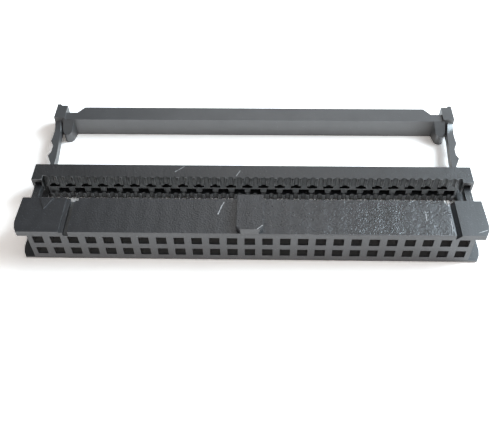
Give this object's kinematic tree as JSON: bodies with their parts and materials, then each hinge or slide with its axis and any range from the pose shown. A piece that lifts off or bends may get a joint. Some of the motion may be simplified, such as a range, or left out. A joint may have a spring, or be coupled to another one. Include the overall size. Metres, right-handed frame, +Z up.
{
  "type": "idc socket",
  "caption": "Long ribbon-cable socket with rows of square pin holes, a polarising key, a grooved cable cover standing open on hooked arms, and a strain-relief bar on barbed legs.",
  "frame": {"origin": "middle of the mating face, half way between the rows of pin holes", "axes": "+X along the rows, away from the first-contact mark; +Y from the mating face towards the cable side; +Z up, towards the polarising key"},
  "size_m": [0.0682, 0.0304, 0.0074],
  "materials": {
    "socket_plastic": "satin dark grey glass-filled plastic with fine light specks",
    "relief_plastic": "satin mid-grey plastic",
    "contact_metal": "tinned strip"
  },
  "bodies": {
    "socket": {"socket_body": "socket_plastic", "contact_a01": "contact_metal", "contact_a02": "contact_metal", "contact_a03": "contact_metal", "contact_a04": "contact_metal", "contact_a05": "contact_metal", "contact_a06": "contact_metal", "contact_a07": "contact_metal", "contact_a08": "contact_metal", "contact_a09": "contact_metal", "contact_a10": "contact_metal", "contact_a11": "contact_metal", "contact_a12": "contact_metal", "contact_a13": "contact_metal", "contact_a14": "contact_metal", "contact_a15": "contact_metal", "contact_a16": "contact_metal", "contact_a17": "contact_metal", "contact_a18": "contact_metal", "contact_a19": "contact_metal", "contact_a20": "contact_metal", "contact_a21": "contact_metal", "contact_a22": "contact_metal", "contact_a23": "contact_metal", "contact_a24": "contact_metal", "contact_a25": "contact_metal", "contact_b01": "contact_metal", "contact_b02": "contact_metal", "contact_b03": "contact_metal", "contact_b04": "contact_metal", "contact_b05": "contact_metal", "contact_b06": "contact_metal", "contact_b07": "contact_metal", "contact_b08": "contact_metal", "contact_b09": "contact_metal", "contact_b10": "contact_metal", "contact_b11": "contact_metal", "contact_b12": "contact_metal", "contact_b13": "contact_metal", "contact_b14": "contact_metal", "contact_b15": "contact_metal", "contact_b16": "contact_metal", "contact_b17": "contact_metal", "contact_b18": "contact_metal", "contact_b19": "contact_metal", "contact_b20": "contact_metal", "contact_b21": "contact_metal", "contact_b22": "contact_metal", "contact_b23": "contact_metal", "contact_b24": "contact_metal", "contact_b25": "contact_metal"},
    "cable_cover": {"cover": "socket_plastic"},
    "relief": {"strain_relief": "relief_plastic"}
  },
  "joints": [
    {"name": "cover_press", "type": "slide", "parent": "socket", "child": "cable_cover", "axis": [0, -1, 0], "range_m": [0, 0.0048]},
    {"name": "strain_relief_press", "type": "slide", "parent": "cable_cover", "child": "relief", "axis": [0, -1, 0], "range_m": [0, 0.0095]}
  ]
}
